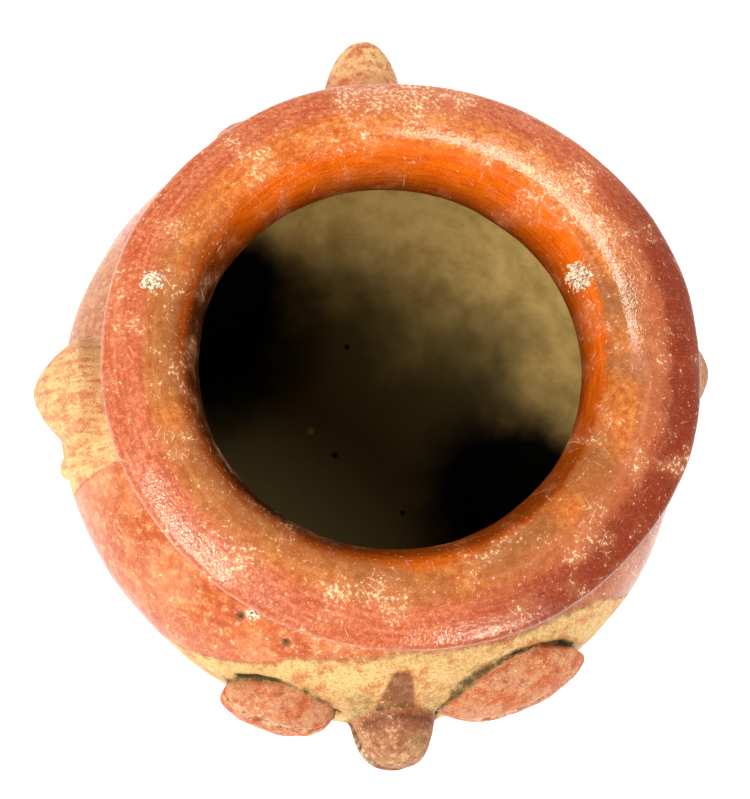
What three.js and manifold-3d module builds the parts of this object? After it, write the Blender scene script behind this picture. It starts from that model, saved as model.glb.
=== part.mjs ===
// A hand-built pottery jar: a squat coil-built body with a wide everted rim, and lumps of
// clay luted on to its shoulder. An animal's snout and two bean-shaped eyes face forward,
// a pointed lug stands on each side, and a tail between two small pads points backward.
//
// Millimetres and degrees. +Z is up and the jar's axis is the Z axis. It stands on z = 0,
// and the snout points along -Y. Azimuths run counterclockwise from +X, seen from above.
import * as THREE from "three";
import { mergeVertices } from "three/addons/utils/BufferGeometryUtils.js";
import Module from "manifold-3d";

const wasm = await Module();
wasm.setup();

// Body
const baseRadius = 40;
const bellyRadius = 108;
const bellyHeight = 84;
const shoulderRise = 61; // from the belly to the top of the shoulder's ellipse
const wallThickness = 7;
const floorThickness = 9;
const floorSquareness = 2.5; // exponent of the bowl's inner curve, where 2 is an ellipse

// Neck and rim
const mouthRadius = 60; // inside, at the narrowest
const neckThickness = 7;
const neckLip = 2.2; // upright, between the corner where the shoulder ends and the rim
const throatFillet = 6; // how far the inner wall turns in to the throat, along the radius
const rimRadius = 92;
const rimEdgeRise = 9; // of the edge above the foot of the rim
const rimEdgeThickness = 5;
const rimCrestRadius = 71;
const rimCrestRise = 7; // of the crest above the edge

// The neck and rim are a little oval, and the mouth is off the rim's centre, as the hand
// left them. The body below the neck joint is round.
const ovalShare = 0.025;
const ovalAzimuth = 34;
const mouthShift = new THREE.Vector2(-4.5, -1.5);

// Rings of clay that the wall is built from
const baseRingHeight = 24;
const coilCount = 5;
const neckJointRadius = 84; // outside, where the collar sits on the shoulder

// Width left between two lumps of clay that are luted together
const lutingGap = 0.3;

// Lumps on the wall. Each stands at an azimuth and at a rise above the belly. Its reach is
// measured outward from the wall, its half width along it and its half height up it. A lean
// moves its tip along the wall, counterclockwise.
const snout = { azimuth: -91, rise: 6, reach: 14.5, halfWidth: 12.5, halfHeight: 11 };
const mouthSlit = 0.8;
const mouthDrop = 2; // of the slit below the middle of the snout

const leftEye = { azimuth: -110.3, rise: 6, reach: 9, halfWidth: 17.5, halfHeight: 12.5, lean: -4 };
const rightEye = { azimuth: -70.5, rise: 13, reach: 7, halfWidth: 24, halfHeight: 15, lean: 9 };
const eyeSlit = 0.8;
const leftSlitRise = 4; // of the slit above the middle of the pad
const rightSlitRise = -1;

const leftLug = { azimuth: -177.5, rise: 20, reach: 13, halfWidth: 16, halfHeight: 17 };
const rightLug = { azimuth: 3, rise: 20, reach: 13, halfWidth: 16, halfHeight: 17 };
const bandReach = 2.5;
const bandHalfWidth = 3;
const bandHalfHeight = 19;
const bandDrop = 4; // of the middle of a band below the middle of its lug

const tail = { azimuth: 93.5, rise: 25, reach: 27.5, halfWidth: 14, halfHeight: 12.5, lean: -2 };
const rearPad = { rise: 20, reach: 7, halfWidth: 10, halfHeight: 12 };
const rearPadAzimuthOffset = 24; // from the tail's azimuth

// How blunt each kind of lump is, how far its root flares, and its upward tilt in degrees
const snoutForm = { bluntness: 2.4, flare: 0.15, lift: 4 };
const eyeForm = { bluntness: 2.6 };
const lugForm = { bluntness: 1.5, flare: 0.1, lift: 8 };
const tailForm = { bluntness: 2.1, flare: 0.1, lift: 14 };

// How finely the round shapes are divided
const aroundJar = 48;
const alongRing = 3;
const alongCurve = 6;
const aroundLump = 20;
const alongLump = 6;

const slipRed = new THREE.MeshStandardMaterial({ color: 0xb5532c, roughness: 0.45 });
const slipOrange = new THREE.MeshStandardMaterial({ color: 0xcf6a25, roughness: 0.4 });
const bareClay = new THREE.MeshStandardMaterial({ color: 0x9c8552, roughness: 0.85 });
const slipCream = new THREE.MeshStandardMaterial({ color: 0xd9b277, roughness: 0.7 });
const wornClay = new THREE.MeshStandardMaterial({ color: 0xb26a4c, roughness: 0.7 });

const radians = THREE.MathUtils.degToRad;
const degrees = THREE.MathUtils.radToDeg;

// Radius of a curve that leaves the belly upright and closes in over a rise or a depth.
function ellipseRadius(widest, distance, extent, squareness = 2) {
  const share = Math.min(Math.abs(distance) / extent, 1);
  return widest * (1 - share ** squareness) ** (1 / squareness);
}

// Distance above the belly at which an ellipse has come in to a radius.
function ellipseRise(widest, radius, extent) {
  return extent * Math.sqrt(1 - (radius / widest) ** 2);
}

const bowlDepth = bellyHeight / Math.sqrt(1 - (baseRadius / bellyRadius) ** 2);

function outerRadius(height) {
  const extent = height < bellyHeight ? bowlDepth : shoulderRise;
  return ellipseRadius(bellyRadius, height - bellyHeight, extent);
}

function innerRadius(height) {
  const widest = bellyRadius - wallThickness;
  if (height < bellyHeight) {
    const depth = bellyHeight - floorThickness;
    return ellipseRadius(widest, bellyHeight - height, depth, floorSquareness);
  }
  return ellipseRadius(widest, height - bellyHeight, shoulderRise - wallThickness);
}

const neckRadius = mouthRadius + neckThickness;
const neckJointHeight = bellyHeight + ellipseRise(bellyRadius, neckJointRadius, shoulderRise);
const cornerHeight = bellyHeight + ellipseRise(bellyRadius, neckRadius, shoulderRise);
const neckHeight = cornerHeight + neckLip;
const rimEdgeHeight = neckHeight + rimEdgeRise;

// Points of the outer or inner wall between two heights, the first height's point first.
function wallPoints(radiusAt, from, to, steps = alongRing) {
  return Array.from({ length: steps + 1 }, (_, i) => {
    const height = THREE.MathUtils.lerp(from, to, i / steps);
    return new THREE.Vector2(radiusAt(height), height);
  });
}

// Bends the neck and rim oval and moves the mouth aside. Both fade out at the neck joint,
// and the mouth's shift fades out at the rim's edge too. Heights stay as they are.
function bendByHand(geometry) {
  const position = geometry.getAttribute("position");
  const { smoothstep } = THREE.MathUtils;
  for (let i = 0; i < position.count; i++) {
    const [x, y, z] = [position.getX(i), position.getY(i), position.getZ(i)];
    const bend = smoothstep(z, neckJointHeight, neckHeight);
    const turn = 2 * (Math.atan2(y, x) - radians(ovalAzimuth));
    const stretch = 1 + ovalShare * bend * Math.cos(turn);
    const shift = bend * (1 - smoothstep(Math.hypot(x, y), mouthRadius, rimRadius));
    position.setXY(i, x * stretch + mouthShift.x * shift, y * stretch + mouthShift.y * shift);
  }
  return geometry;
}

// A solid turned round the jar's axis from its closed profile.
function turned(points) {
  return bendByHand(new THREE.LatheGeometry(points, aroundJar).rotateX(Math.PI / 2));
}

// Profiles, each running outward along the bottom, up the outside and back down inside.
function baseProfile() {
  return [
    new THREE.Vector2(0, 0),
    ...wallPoints(outerRadius, 0, baseRingHeight),
    ...wallPoints(innerRadius, baseRingHeight, floorThickness, 2 * alongRing),
  ];
}

function coilProfile(index) {
  const rise = (neckJointHeight - baseRingHeight) / coilCount;
  const low = baseRingHeight + index * rise;
  const outer = wallPoints(outerRadius, low, low + rise);
  return [...outer, ...wallPoints(innerRadius, low + rise, low), outer[0]];
}

// The shoulder's last stretch, which meets the rim in a sharp corner outside and turns up
// into the throat inside.
function collarProfile() {
  const shoulder = wallPoints(outerRadius, neckJointHeight, cornerHeight);
  const widest = bellyRadius - wallThickness;
  const extent = shoulderRise - wallThickness;
  const bendRadius = mouthRadius + throatFillet;
  const bendHeight = bellyHeight + ellipseRise(widest, bendRadius, extent);
  const throatBase = bellyHeight + ellipseRise(widest, mouthRadius, extent);
  const throat = new THREE.QuadraticBezierCurve(
    new THREE.Vector2(mouthRadius, neckHeight),
    new THREE.Vector2(mouthRadius, throatBase),
    new THREE.Vector2(bendRadius, bendHeight),
  );
  return [
    ...shoulder,
    new THREE.Vector2(neckRadius, neckHeight),
    ...throat.getPoints(alongCurve),
    ...wallPoints(innerRadius, bendHeight, neckJointHeight, 2).slice(1),
    shoulder[0],
  ];
}

// A thick roll: hollowed underneath, rounded at the edge, and falling from a crest outward
// to the edge and inward to the throat.
function rimProfile() {
  const halfEdge = rimEdgeThickness / 2;
  const edgeCentre = new THREE.Vector2(rimRadius - halfEdge, rimEdgeHeight);
  const underEdge = new THREE.Vector2(edgeCentre.x, rimEdgeHeight - halfEdge);
  const overEdge = new THREE.Vector2(edgeCentre.x, rimEdgeHeight + halfEdge);
  const crest = new THREE.Vector2(rimCrestRadius, rimEdgeHeight + rimCrestRise);
  const foot = new THREE.Vector2(mouthRadius, neckHeight);
  const heel = new THREE.Vector2(neckRadius, neckHeight);
  const underside = new THREE.QuadraticBezierCurve(
    heel,
    new THREE.Vector2(neckRadius, (neckHeight + 2 * underEdge.y) / 3),
    underEdge,
  );
  const edge = new THREE.Path();
  edge.absarc(edgeCentre.x, edgeCentre.y, halfEdge, -Math.PI / 2, Math.PI / 2);
  const fall = new THREE.QuadraticBezierCurve(
    overEdge,
    new THREE.Vector2((overEdge.x + crest.x) / 2, crest.y),
    crest,
  );
  const throat = new THREE.CubicBezierCurve(
    crest,
    new THREE.Vector2((crest.x + foot.x) / 2, crest.y),
    new THREE.Vector2(foot.x, (crest.y + foot.y) / 2),
    foot,
  );
  return [
    ...underside.getPoints(alongCurve).slice(0, -1),
    ...edge.getPoints(4).slice(0, -1),
    ...fall.getPoints(alongCurve).slice(0, -1),
    ...throat.getPoints(alongCurve),
    heel,
  ];
}

const jar = new THREE.Group();

function addPiece(group, name, geometry, material) {
  const piece = new THREE.Mesh(geometry, material);
  piece.name = name;
  group.add(piece);
}

function addWall() {
  addPiece(jar, "pinched_base", turned(baseProfile()), bareClay);
  for (let i = 0; i < coilCount; i++)
    addPiece(jar, `wall_coil_${i + 1}`, turned(coilProfile(i)), slipRed);
  addPiece(jar, "neck_collar", turned(collarProfile()), slipOrange);
  addPiece(jar, "everted_rim", turned(rimProfile()), slipRed);
}

// Solids for cutting, made from and back into three.js geometry.
function solidOf(geometry) {
  const bare = geometry.index ? geometry.toNonIndexed() : geometry.clone();
  bare.deleteAttribute("normal");
  bare.deleteAttribute("uv");
  const merged = mergeVertices(bare);
  return new wasm.Manifold(
    new wasm.Mesh({
      numProp: 3,
      vertProperties: merged.getAttribute("position").array,
      triVerts: new Uint32Array(merged.index.array),
    }),
  );
}

function geometryOf(solid) {
  const { vertProperties, triVerts } = solid.getMesh();
  const geometry = new THREE.BufferGeometry();
  geometry.setAttribute("position", new THREE.BufferAttribute(vertProperties, 3));
  geometry.setIndex(new THREE.BufferAttribute(triVerts, 1));
  return geometry;
}

// The space that the jar's body fills, one luting gap larger all round, which every lump is
// cut by. Its facets run along those of the wall.
function bodySpace() {
  const rise = (neckJointHeight - baseRingHeight) / coilCount;
  const grown = (height) => outerRadius(height) + lutingGap;
  const outer = wallPoints(grown, baseRingHeight, neckJointHeight, coilCount * alongRing);
  const shoulder = wallPoints(grown, neckJointHeight, neckHeight, alongRing).slice(1);
  return turned([
    new THREE.Vector2(0, baseRingHeight - rise),
    new THREE.Vector2(outer[0].x, baseRingHeight - rise),
    ...outer,
    ...shoulder,
    new THREE.Vector2(0, neckHeight),
  ]);
}

const bodyCutter = bodySpace();

// The frame of a spot on the wall: +X outward, +Y along the wall and +Z up.
function spotOnWall({ azimuth, rise }) {
  const spot = new THREE.Group();
  const angle = radians(azimuth);
  const height = bellyHeight + rise;
  const radius = outerRadius(height);
  spot.position.set(radius * Math.cos(angle), radius * Math.sin(angle), height);
  spot.rotation.z = angle;
  jar.add(spot);
  spot.updateMatrixWorld();
  return spot;
}

// A rounded lump along +X, round or oval across, that runs back behind x = 0. The flare
// widens its root, the lift in degrees tilts it upward, and it can grow all round. A size
// with a lean shears it along +Y.
function lump(size, { bluntness = 2.2, flare = 0, lift = 0, grow = 0 } = {}) {
  const reach = size.reach + grow;
  const root = -wallThickness;
  const points = [new THREE.Vector2(0, root), new THREE.Vector2(1 + flare, root)];
  for (let i = 0; i <= alongLump; i++) {
    const share = Math.sin(((i / alongLump) * Math.PI) / 2);
    const roundness = Math.max(1 - share ** bluntness, 0) ** (1 / bluntness);
    points.push(new THREE.Vector2(roundness * (1 + flare * (1 - share) ** 3), share * reach));
  }
  const lean = new THREE.Matrix4().makeShear((size.lean ?? 0) / size.reach, 0, 0, 0, 0, 0);
  return new THREE.LatheGeometry(points, aroundLump)
    .rotateZ(-Math.PI / 2)
    .scale(1, size.halfWidth + grow, size.halfHeight + grow)
    .applyMatrix4(lean)
    .rotateY(-radians(lift));
}

// Bends a lump in a spot's frame so that it follows the wall round and up.
function layOnWall(geometry, rise) {
  const position = geometry.getAttribute("position");
  const height = bellyHeight + rise;
  const spotRadius = outerRadius(height);
  for (let i = 0; i < position.count; i++) {
    const [out, along, up] = [position.getX(i), position.getY(i), position.getZ(i)];
    const radius = outerRadius(height + up) + out;
    const turn = along / spotRadius;
    position.setXYZ(i, radius * Math.cos(turn) - spotRadius, radius * Math.sin(turn), up);
  }
  return geometry;
}

// What is left of a lump in front of the wall.
function seated(geometry, spot) {
  const toSpot = spot.matrixWorld.clone().invert();
  return solidOf(geometry).subtract(solidOf(bodyCutter.clone().applyMatrix4(toSpot)));
}

// A lump with a luting gap round it, moved from its spot's frame to a neighbour's.
function lumpSpace(size, form, from, to) {
  const toNeighbour = to.matrixWorld.clone().invert().multiply(from.matrixWorld);
  return solidOf(lump(size, { ...form, grow: lutingGap }).applyMatrix4(toNeighbour));
}

// The part of a solid above or below a slit that is cut level across it.
function slitPart(solid, slitHeight, slit, side) {
  const span = 4 * bellyRadius;
  const block = new THREE.BoxGeometry(span, span, span);
  block.translate(0, 0, slitHeight + (side * (span + slit)) / 2);
  return solid.intersect(solidOf(block));
}

function addSnout() {
  const spot = spotOnWall(snout);
  const shape = lump(snout, snoutForm);
  const whole = seated(shape, spot);
  const upper = slitPart(whole, -mouthDrop, mouthSlit, 1);
  const lower = slitPart(whole, -mouthDrop, mouthSlit, -1);
  addPiece(spot, "snout_upper", geometryOf(upper), wornClay);
  addPiece(spot, "snout_lower_jaw", geometryOf(lower), wornClay);
  return spot;
}

function addEye(name, eye, slitRise, snoutSpot) {
  const spot = spotOnWall(eye);
  const shape = layOnWall(lump(eye, eyeForm), eye.rise);
  const whole = seated(shape, spot).subtract(lumpSpace(snout, snoutForm, snoutSpot, spot));
  const upper = slitPart(whole, slitRise, eyeSlit, 1);
  const lower = slitPart(whole, slitRise, eyeSlit, -1);
  addPiece(spot, `${name}_upper_lid`, geometryOf(upper), wornClay);
  addPiece(spot, `${name}_lower_lid`, geometryOf(lower), wornClay);
}

// A pointed lug, and the upright band that stands beside it on the snout's side.
function addSide(name, lug, towardSnout) {
  const spot = spotOnWall(lug);
  addPiece(spot, `${name}_lug`, geometryOf(seated(lump(lug, lugForm), spot)), slipCream);

  const offset = lug.halfWidth + bandHalfWidth;
  const place = {
    azimuth: lug.azimuth + towardSnout * degrees(offset / outerRadius(bellyHeight + lug.rise)),
    rise: lug.rise - bandDrop,
  };
  const band = { reach: bandReach, halfWidth: bandHalfWidth, halfHeight: bandHalfHeight };
  const bandSpot = spotOnWall(place);
  const strip = seated(layOnWall(lump(band), place.rise), bandSpot);
  const clear = strip.subtract(lumpSpace(lug, lugForm, spot, bandSpot));
  addPiece(bandSpot, `${name}_band`, geometryOf(clear), slipCream);
}

function addRear() {
  const spot = spotOnWall(tail);
  const shape = lump(tail, tailForm);
  addPiece(spot, "tail_lug", geometryOf(seated(shape, spot)), wornClay);
  for (const [name, side] of [["rear_left_pad", 1], ["rear_right_pad", -1]]) {
    const place = { azimuth: tail.azimuth + side * rearPadAzimuthOffset, rise: rearPad.rise };
    const padSpot = spotOnWall(place);
    const pad = layOnWall(lump(rearPad), rearPad.rise);
    addPiece(padSpot, name, geometryOf(seated(pad, padSpot)), wornClay);
  }
}

addWall();
const snoutSpot = addSnout();
addEye("left_eye", leftEye, leftSlitRise, snoutSpot);
addEye("right_eye", rightEye, rightSlitRise, snoutSpot);
addSide("left_side", leftLug, 1);
addSide("right_side", rightLug, -1);
addRear();

export default jar;
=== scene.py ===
import math
from dataclasses import dataclass, replace
from itertools import product

import bpy
import numpy as np
from mathutils import Matrix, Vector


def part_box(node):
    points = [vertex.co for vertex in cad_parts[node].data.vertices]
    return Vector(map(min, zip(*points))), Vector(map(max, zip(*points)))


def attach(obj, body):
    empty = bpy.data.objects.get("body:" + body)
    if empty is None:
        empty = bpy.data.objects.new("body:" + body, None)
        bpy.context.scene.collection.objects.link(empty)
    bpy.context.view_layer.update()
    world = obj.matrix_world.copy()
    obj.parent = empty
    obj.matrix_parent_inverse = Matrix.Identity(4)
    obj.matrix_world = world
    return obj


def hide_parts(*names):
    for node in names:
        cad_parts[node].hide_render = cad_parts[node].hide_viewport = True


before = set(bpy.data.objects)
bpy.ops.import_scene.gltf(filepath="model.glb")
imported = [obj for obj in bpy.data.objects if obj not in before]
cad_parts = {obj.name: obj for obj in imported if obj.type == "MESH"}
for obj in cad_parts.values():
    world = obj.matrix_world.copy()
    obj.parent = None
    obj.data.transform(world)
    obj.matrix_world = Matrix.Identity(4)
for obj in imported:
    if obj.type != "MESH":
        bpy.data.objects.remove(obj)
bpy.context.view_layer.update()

# Shapes are worked out in millimetres, in the frame's axes: +Z is up, the jar stands on
# z = 0 and the snout points along -Y. Azimuths are degrees counterclockwise from +X.
MM = 0.001

# Body
BASE_RADIUS = 40
BELLY_RADIUS = 108
BELLY_HEIGHT = 84
SHOULDER_RISE = 61
WALL_THICKNESS = 7
FLOOR_THICKNESS = 9
FLOOR_SQUARENESS = 2.5

# Neck and rim
MOUTH_RADIUS = 60
NECK_THICKNESS = 7
THROAT_FILLET = 6
RIM_RADIUS = 92
RIM_EDGE_RISE = 9
RIM_EDGE_THICKNESS = 5
RIM_CREST_RADIUS = 71
RIM_CREST_RISE = 7
EDGE_TILT = 0.45  # of the rim's top where it meets the round edge, in radians
OVAL_SHARE = 0.025
OVAL_AZIMUTH = 34
MOUTH_SHIFT = (-4.5, -1.5)

COILS = range(1, 6)
RINGS = ["pinched_base", *(f"wall_coil_{i}" for i in COILS), "neck_collar", "everted_rim"]
BASE, COLLAR, RIM = 0, len(RINGS) - 2, len(RINGS) - 1
JOINTS = [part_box(name)[1].z / MM for name in RINGS[:-1]]
NECK_JOINT_HEIGHT, NECK_HEIGHT = JOINTS[-2:]
RIM_EDGE_HEIGHT = NECK_HEIGHT + RIM_EDGE_RISE
RIM_CREST_HEIGHT = RIM_EDGE_HEIGHT + RIM_CREST_RISE
NECK_RADIUS = MOUTH_RADIUS + NECK_THICKNESS
BOWL_DEPTH = BELLY_HEIGHT / math.sqrt(1 - (BASE_RADIUS / BELLY_RADIUS) ** 2)


def smoothstep(value, low, high):
    share = np.clip((value - low) / (high - low), 0, 1)
    return share * share * (3 - 2 * share)


def smooth_min(a, b, width):
    share = np.clip(0.5 + 0.5 * (b - a) / width, 0, 1)
    return b * (1 - share) + a * share - width * share * (1 - share)


def smooth_max(a, b, width):
    return -smooth_min(-a, -b, width)


def bump(value, middle, width):
    return np.exp(-(((value - middle) / width) ** 2))


def window(value, low, high, fall, end):
    """0 below low and above end, and 1 from high to fall."""
    return smoothstep(value, low, high) * (1 - smoothstep(value, fall, end))


def turn_between(a, b):
    """Degrees from azimuth b to azimuth a, from -180 to 180."""
    return (a - b + 180) % 360 - 180


def azimuth_of(points):
    return np.degrees(np.arctan2(points[..., 1], points[..., 0]))


def distance_to(points, place):
    return np.linalg.norm(points - place, axis=-1)


def unit(vectors):
    lengths = np.linalg.norm(vectors, axis=-1, keepdims=True)
    return vectors / np.maximum(lengths, 1e-9)


def lengths_along(points):
    """Each point's distance from the first one, along the line through them all."""
    return np.concatenate([[0], np.cumsum(np.hypot(*np.diff(points, axis=0).T))])


def lattice_value(x, y, z, seed):
    mixed = (x * 73856093) ^ (y * 19349663) ^ (z * 83492791) ^ (seed * 50331653)
    mixed = ((mixed ^ (mixed >> 13)) * 1274126177) & 0x7FFFFFFF
    mixed = mixed ^ (mixed >> 15)
    return (mixed & 0xFFFF) / 32767.5 - 1


def noise(points, size, seed):
    """Smooth noise from -1 to 1 whose lumps are about size across."""
    scaled = points / size
    corner = np.floor(scaled).astype(np.int64)
    share = scaled - corner
    share = share**3 * (share * (share * 6 - 15) + 10)
    total = 0
    for steps in product((0, 1), repeat=3):
        weight = 1
        for axis, step in enumerate(steps):
            weight = weight * (share[..., axis] if step else 1 - share[..., axis])
        x, y, z = (corner[..., axis] + step for axis, step in enumerate(steps))
        total = total + weight * lattice_value(x, y, z, seed)
    return total


def waves(points, sizes, seed):
    """Unevenness made of noises that each have a height and a size across."""
    return sum(height * noise(points, size, seed + i) for i, (height, size) in enumerate(sizes))


# The wall


def ellipse_radius(widest, distance, extent, squareness=2):
    share = np.minimum(np.abs(distance) / extent, 1)
    return widest * (1 - share**squareness) ** (1 / squareness)


def extent_at(height):
    return np.where(height < BELLY_HEIGHT, BOWL_DEPTH, SHOULDER_RISE)


def outer_radius(height):
    return ellipse_radius(BELLY_RADIUS, height - BELLY_HEIGHT, extent_at(height))


def inner_radius(height):
    widest = BELLY_RADIUS - WALL_THICKNESS
    depth = np.maximum(BELLY_HEIGHT - height, 0)
    bowl = ellipse_radius(widest, depth, BELLY_HEIGHT - FLOOR_THICKNESS, FLOOR_SQUARENESS)
    dome = ellipse_radius(widest, height - BELLY_HEIGHT, SHOULDER_RISE - WALL_THICKNESS)
    return np.where(height < BELLY_HEIGHT, bowl, dome)


def wall_curve(radius_at, low, high, count=400):
    """Points of the outer or inner wall, close together also where it lies flat."""
    share = np.linspace(0, 1, count)
    heights = low + (high - low) * share
    return np.column_stack([radius_at(heights), heights])


def bezier(points, count=120):
    share = np.linspace(0, 1, count)[:, None]
    degree = len(points) - 1
    total = 0
    for i, point in enumerate(points):
        weight = math.comb(degree, i) * share**i * (1 - share) ** (degree - i)
        total = total + weight * np.array(point, float)
    return total


def resample(curve, step):
    """The curve's points again, evenly spaced at about the step."""
    along = lengths_along(curve)
    places = np.linspace(0, along[-1], max(2, round(along[-1] / step)) + 1)
    return np.column_stack([np.interp(places, along, curve[:, i]) for i in (0, 1)])


def rim_curves():
    """The rim's outline outside from its foot, round its edge, and over the crest to the throat."""
    half = RIM_EDGE_THICKNESS / 2
    centre = RIM_RADIUS - half
    under = (centre, RIM_EDGE_HEIGHT - half)
    over = (centre + half * math.sin(EDGE_TILT), RIM_EDGE_HEIGHT + half * math.cos(EDGE_TILT))
    heel = (NECK_RADIUS, NECK_HEIGHT)
    foot = (MOUTH_RADIUS, NECK_HEIGHT)
    crest = (RIM_CREST_RADIUS, RIM_CREST_HEIGHT)
    angles = np.linspace(-math.pi / 2, math.pi / 2 - EDGE_TILT, 80)
    edge = np.column_stack([centre + half * np.cos(angles), RIM_EDGE_HEIGHT + half * np.sin(angles)])
    underside = bezier([heel, (NECK_RADIUS, (NECK_HEIGHT + 2 * under[1]) / 3), under])
    fall = bezier([over, ((over[0] + crest[0]) / 2, crest[1]), crest])
    middle = ((crest[0] + foot[0]) / 2, (crest[1] + foot[1]) / 2)
    throat = bezier([crest, (middle[0], crest[1]), (foot[0], middle[1]), foot])
    return underside, edge, np.vstack([fall, throat[1:]])


def collar_curves():
    """The collar's outline outside, and its throat inside down to the wall."""
    corner = BELLY_HEIGHT + SHOULDER_RISE * math.sqrt(1 - (NECK_RADIUS / BELLY_RADIUS) ** 2)
    shoulder = wall_curve(outer_radius, NECK_JOINT_HEIGHT, corner)
    outside = np.vstack([shoulder, [NECK_RADIUS, NECK_HEIGHT]])
    widest = BELLY_RADIUS - WALL_THICKNESS
    extent = SHOULDER_RISE - WALL_THICKNESS
    bend_radius = MOUTH_RADIUS + THROAT_FILLET
    bend_height = BELLY_HEIGHT + extent * math.sqrt(1 - (bend_radius / widest) ** 2)
    throat_base = BELLY_HEIGHT + extent * math.sqrt(1 - (MOUTH_RADIUS / widest) ** 2)
    throat = bezier(
        [(MOUTH_RADIUS, NECK_HEIGHT), (MOUTH_RADIUS, throat_base), (bend_radius, bend_height)]
    )
    inside = np.vstack([throat, wall_curve(inner_radius, bend_height, NECK_JOINT_HEIGHT)])
    return outside, inside


# Distance between the rows of each stretch of the outline
OUTSIDE_STEP = 1.3
EDGE_STEP = 0.5
RIM_TOP_STEP = 1.0
THROAT_STEP = 1.2
INSIDE_STEP = 2.4
FLOOR_POINTS = 3000  # so many that the flat floor is followed closely


def jar_rows():
    """Outline of the whole wall, as one run of rows: out along the bottom, up the outside,
    over the rim and down the inside. Gives the points, and for each ring the first and last
    rows of its outer and inner stretches."""
    bottom = np.array([[0, 0], [BASE_RADIUS, 0]], float)
    bowl = wall_curve(outer_radius, 0, JOINTS[BASE])
    sections = [(BASE, np.vstack([bottom, bowl[1:]]), OUTSIDE_STEP)]
    for i in COILS:
        sections.append((i, wall_curve(outer_radius, JOINTS[i - 1], JOINTS[i]), OUTSIDE_STEP))
    collar_outside, collar_inside = collar_curves()
    underside, edge, top = rim_curves()
    sections += [
        (COLLAR, collar_outside, OUTSIDE_STEP),
        (RIM, underside, OUTSIDE_STEP),
        (RIM, edge, EDGE_STEP),
        (RIM, top, RIM_TOP_STEP),
        (COLLAR, collar_inside, THROAT_STEP),
    ]
    for i in reversed(COILS):
        sections.append((i, wall_curve(inner_radius, JOINTS[i], JOINTS[i - 1]), INSIDE_STEP))
    floor = wall_curve(inner_radius, JOINTS[BASE], FLOOR_THICKNESS, FLOOR_POINTS)
    sections.append((BASE, floor, INSIDE_STEP))
    points = []
    spans = [[] for _ in RINGS]
    first = 0
    for ring, curve, step in sections:
        part = resample(curve, step)
        points.append(part if first == 0 else part[1:])
        last = first + len(part) - 1
        stretches = spans[ring]
        if stretches and stretches[-1][1] == first:
            stretches[-1] = (stretches[-1][0], last)
        else:
            stretches.append((first, last))
        first = last
    return np.vstack(points), spans


def softened(points, rounds=3):
    """Rounds the corners of an outline and keeps its ends."""
    for _ in range(rounds):
        middle = 0.25 * points[:-2] + 0.5 * points[1:-1] + 0.25 * points[2:]
        points = np.vstack([points[:1], middle, points[-1:]])
    return points


def jar_columns():
    """Azimuths of the mesh's columns, closer together round the face."""
    face_start, face_end = -132, -46
    face = np.arange(face_start, face_end, 0.4)
    rest = np.linspace(face_end, face_start + 360, 244)[:-1]
    return np.concatenate([face, rest])


def bend_by_hand(points):
    """The oval neck and rim and the mouth's shift, as the frame has them."""
    x, y, z = points[..., 0], points[..., 1], points[..., 2]
    bend = smoothstep(z, NECK_JOINT_HEIGHT, NECK_HEIGHT)
    turn = 2 * (np.arctan2(y, x) - math.radians(OVAL_AZIMUTH))
    stretch = 1 + OVAL_SHARE * bend * np.cos(turn)
    shift = bend * (1 - smoothstep(np.hypot(x, y), MOUTH_RADIUS, RIM_RADIUS))
    return np.stack([x * stretch + MOUTH_SHIFT[0] * shift, y * stretch + MOUTH_SHIFT[1] * shift, z], -1)


def polyline_distance(points, corners):
    """Distance from each point to a line of straight stretches."""
    nearest = np.full(points.shape[:-1], np.inf)
    for start, end in zip(corners[:-1], corners[1:]):
        run = end - start
        share = np.clip(((points - start) @ run) / (run @ run), 0, 1)
        nearest = np.minimum(nearest, distance_to(points - start, share[..., None] * run))
    return nearest


def spun(radius, angle, height):
    """Points at a distance from the jar's axis, turned round it."""
    places = np.broadcast_arrays(radius * np.cos(angle), radius * np.sin(angle), height)
    return np.stack(places, -1)


def on_wall(azimuth, height):
    return spun(outer_radius(np.asarray(height, float)), np.radians(azimuth), height)


def wall_line(places, steps=6):
    """A line drawn on the wall through (azimuth, height) places."""
    places = np.array(places, float)
    at = np.linspace(0, len(places) - 1, steps * (len(places) - 1) + 1)
    known = np.arange(len(places))
    return on_wall(np.interp(at, known, places[:, 0]), np.interp(at, known, places[:, 1]))


# Creases pressed into the wall along the upper edge of each eye pad, as (azimuth, height)
LEFT_CREASE = wall_line(
    [(-119.5, 96), (-116.5, 100.8), (-113.5, 102.4), (-109, 101.6), (-104.5, 98.6), (-101, 94.5)]
)
RIGHT_CREASE = wall_line(
    [(-84, 94), (-82, 99.5), (-79, 104.5), (-75, 109), (-69.5, 111.6), (-63.5, 110), (-59, 106.5)]
    + [(-57, 101.5)]
)
CREASES = [(LEFT_CREASE, 1.3, 1.0), (RIGHT_CREASE, 2.2, 1.4)]  # line, depth and width
PITS = [(-124.1, 115.1, 2.3), (-114.4, 114.6, 2.1)]  # azimuth, height and radius
PIT_DEPTH = 1.3
PIT_EDGE_RISE = 0.2
SPALL = (54.3, 24.1, 143.6)
SPALL_RADIUS = 4.6
SPALL_DEPTH = 0.7

# Unevenness as (height, size across)
WALL_WAVES = [(0.5, 38), (0.22, 15), (0.07, 6)]
RIM_WAVES = [(0.42, 30), (0.16, 12), (0.05, 5)]
LUMP_WAVES = [(0.6, 7), (0.4, 3)]


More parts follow.
